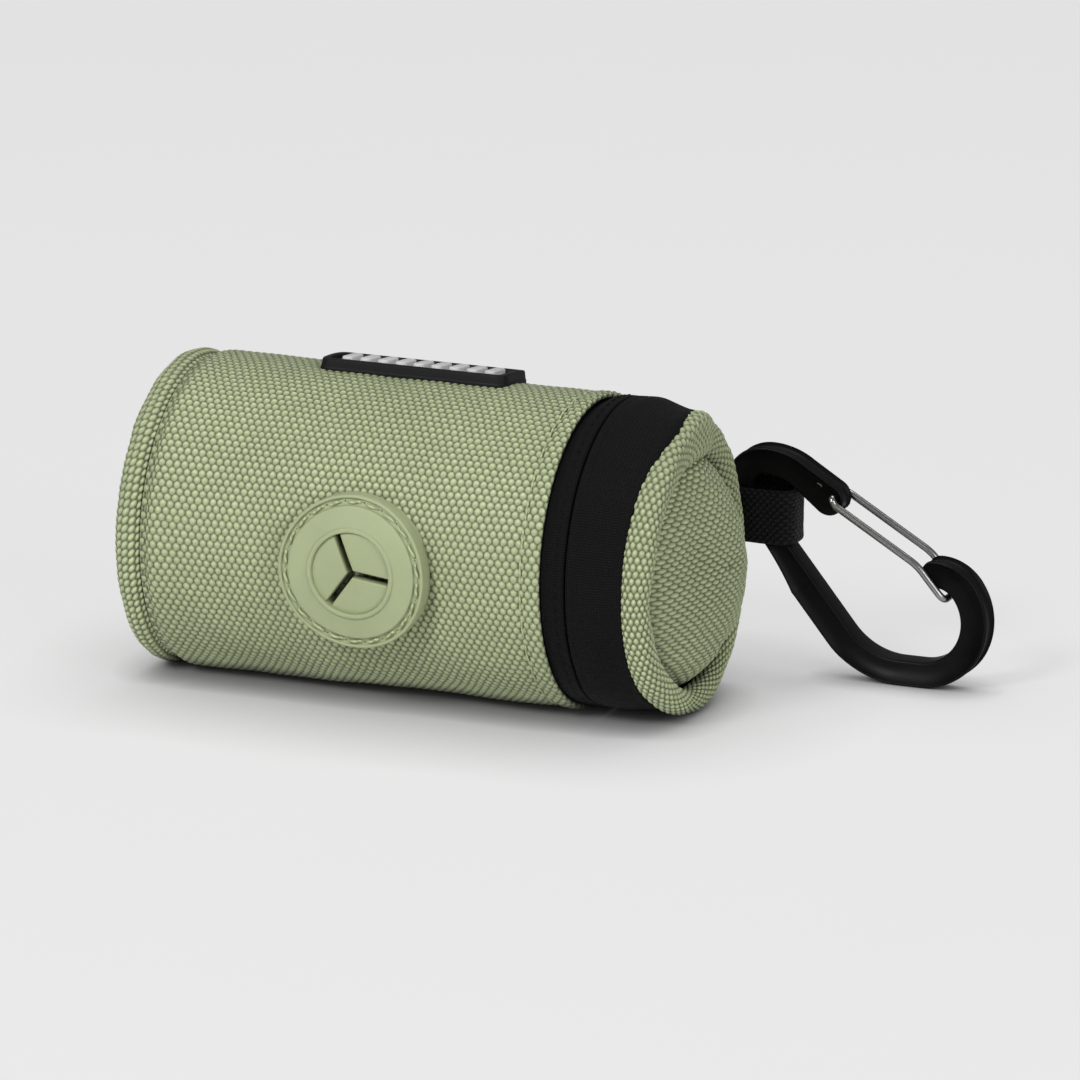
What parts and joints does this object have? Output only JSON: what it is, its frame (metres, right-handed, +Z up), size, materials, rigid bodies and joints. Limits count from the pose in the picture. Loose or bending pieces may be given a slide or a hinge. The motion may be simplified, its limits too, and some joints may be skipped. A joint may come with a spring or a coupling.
{
  "type": "dog waste bag dispenser",
  "caption": "Zipped fabric tube that holds a roll of dog waste bags, pulls them out through a slit rubber patch, and hangs from a wire-gate carabiner.",
  "frame": {"origin": "on the surface that the tube rests on, under the tube's axis, 42 mm from the closed-end seam", "axes": "+X along the tube towards the zipped cap, the dispensing patch faces -Y, +Z up"},
  "size_m": [0.1292, 0.0608, 0.0521],
  "materials": {
    "shell_fabric": "coarse woven polyester oxford, satin yarns",
    "foam": "closed-cell foam sheet",
    "lining_fabric": "fine plain-woven lining",
    "binding_tape": "folded seam tape",
    "patch_rubber": "matt moulded soft vinyl",
    "label_rubber": "matt moulded soft vinyl",
    "zip_tape": "fine ribbed reverse zip tape",
    "zip_coil": "moulded nylon coil",
    "slider_metal": "black enamelled zinc",
    "webbing": "woven polyester webbing",
    "carabiner_alloy": "matt black anodised",
    "steel_wire": "bright stainless wire",
    "core_board": "wound card tube",
    "bag_film": "thin wound plastic film"
  },
  "bodies": {
    "tube": {"outer_shell": "shell_fabric", "tube_padding": "foam", "tube_lining": "lining_fabric", "closed_end_panel": "shell_fabric", "closed_end_padding": "foam", "closed_end_lining": "lining_fabric", "closed_end_piping": "shell_fabric", "closed_end_binding": "binding_tape", "dispenser_patch": "patch_rubber", "body_label": "label_rubber", "zip_tape_tube": "zip_tape", "zip_coil_tube": "zip_coil", "zip_stops": "steel_wire", "hinge_tab": "shell_fabric"},
    "cap": {"zip_tape_cap": "zip_tape", "zip_coil_cap": "zip_coil", "cap_side_lining": "lining_fabric", "cap_roll": "shell_fabric", "cap_end_panel": "shell_fabric", "cap_padding": "foam", "cap_end_lining": "lining_fabric", "cap_binding": "binding_tape", "webbing_root": "webbing"},
    "slider": {"zip_slider": "slider_metal"},
    "pull": {"zip_pull": "slider_metal"},
    "loop": {"webbing_loop": "webbing"},
    "carabiner": {"carabiner_body": "carabiner_alloy", "gate_wire_end": "steel_wire"},
    "gate": {"carabiner_gate": "steel_wire"},
    "bags": {"roll_core": "core_board", "bag_roll": "bag_film"}
  },
  "joints": [
    {"name": "cap_open", "type": "hinge", "parent": "tube", "child": "cap", "pos_m": [0.0312, 0.0246, 0.0246], "axis": [0, 0, 1], "range_deg": [0, 100], "deforming": ["hinge_tab"]},
    {"name": "zip_slide", "type": "hinge", "parent": "tube", "child": "slider", "pos_m": [0.0312, 0, 0.0246], "axis": [-1, 0, 0], "range_deg": [0, 256]},
    {"name": "pull_flip", "type": "hinge", "parent": "slider", "child": "pull", "pos_m": [0.03119, 0.01622, 0.00384], "axis": [1, 0, 0], "range_deg": [-115, 45]},
    {"name": "loop_flex", "type": "hinge", "parent": "cap", "child": "loop", "pos_m": [0.0346, 0.0263, 0.026], "axis": [0, 0, 1], "range_deg": [0, 48], "deforming": ["webbing_loop"]},
    {"name": "carabiner_tilt", "type": "hinge", "parent": "loop", "child": "carabiner", "pos_m": [0.0434, 0.0287, 0.019], "axis": [0, -1, 0], "range_deg": [-8, 6]},
    {"name": "gate_open", "type": "hinge", "parent": "carabiner", "child": "gate", "pos_m": [0.05641, 0.0287, 0.03008], "axis": [0, 1, 0], "range_deg": [0, 28], "stiffness_Nm_per_rad": 0.006, "springref_deg": -5.73},
    {"name": "roll_spin", "type": "hinge", "parent": "tube", "child": "bags", "pos_m": [-0.0075, 0, 0.0168], "axis": [1, 0, 0], "continuous": true}
  ]
}
